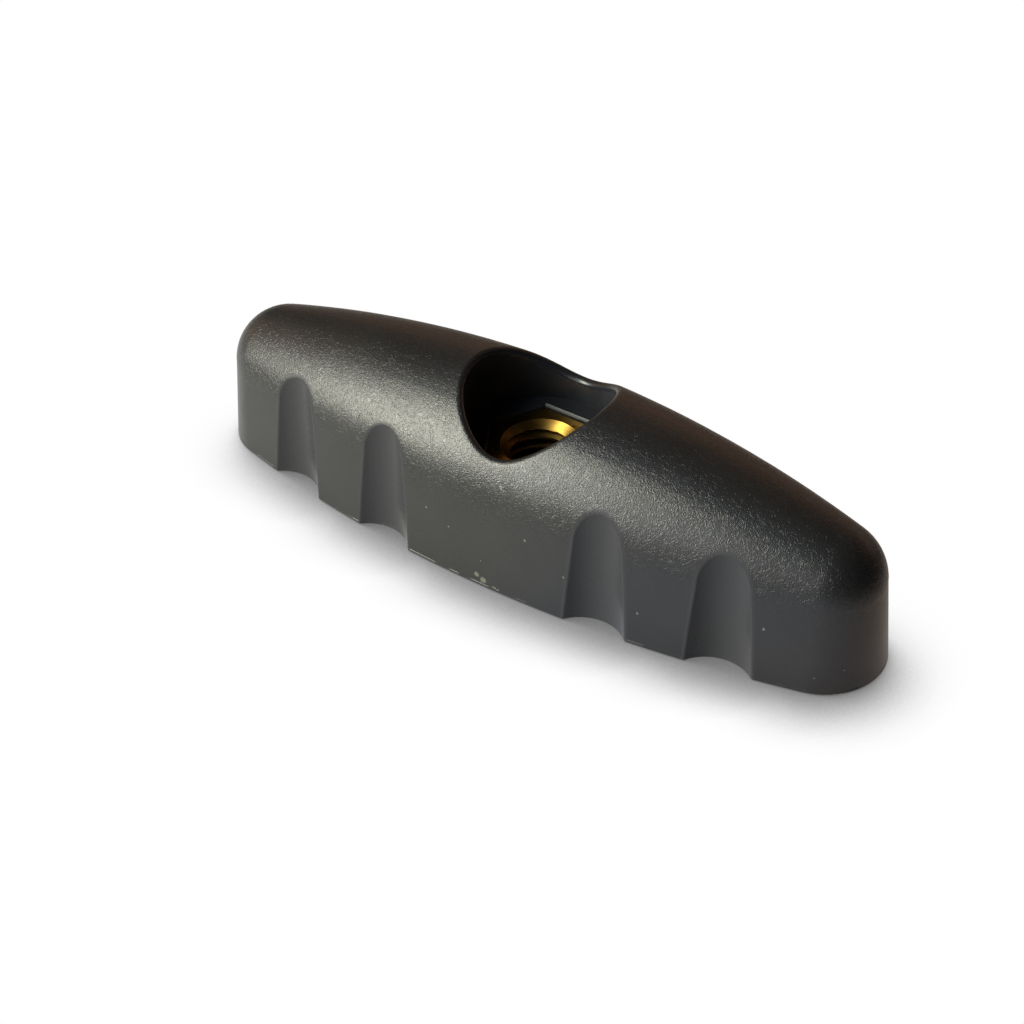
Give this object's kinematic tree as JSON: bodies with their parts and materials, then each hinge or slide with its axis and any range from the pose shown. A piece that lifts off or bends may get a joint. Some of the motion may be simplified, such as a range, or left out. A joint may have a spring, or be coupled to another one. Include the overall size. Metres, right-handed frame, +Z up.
{
  "type": "rotisserie handle",
  "caption": "Black moulded hand grip, boat-shaped with finger grooves, that screws onto a rotisserie spit rod through a captive brass hex nut in a round pocket.",
  "frame": {"origin": "centre of the underside, on the plane the grip stands on", "axes": "+X along the grip, +Z up through the pocket; the rod comes in from below, along -Z"},
  "size_m": [0.105, 0.0284, 0.0254],
  "materials": {
    "grip_plastic": "black, fine moulded grain, semi-matt",
    "nut_brass": "bright turned"
  },
  "bodies": {
    "root": {"grip": "grip_plastic", "hex_nut": "nut_brass"}
  },
  "joints": []
}
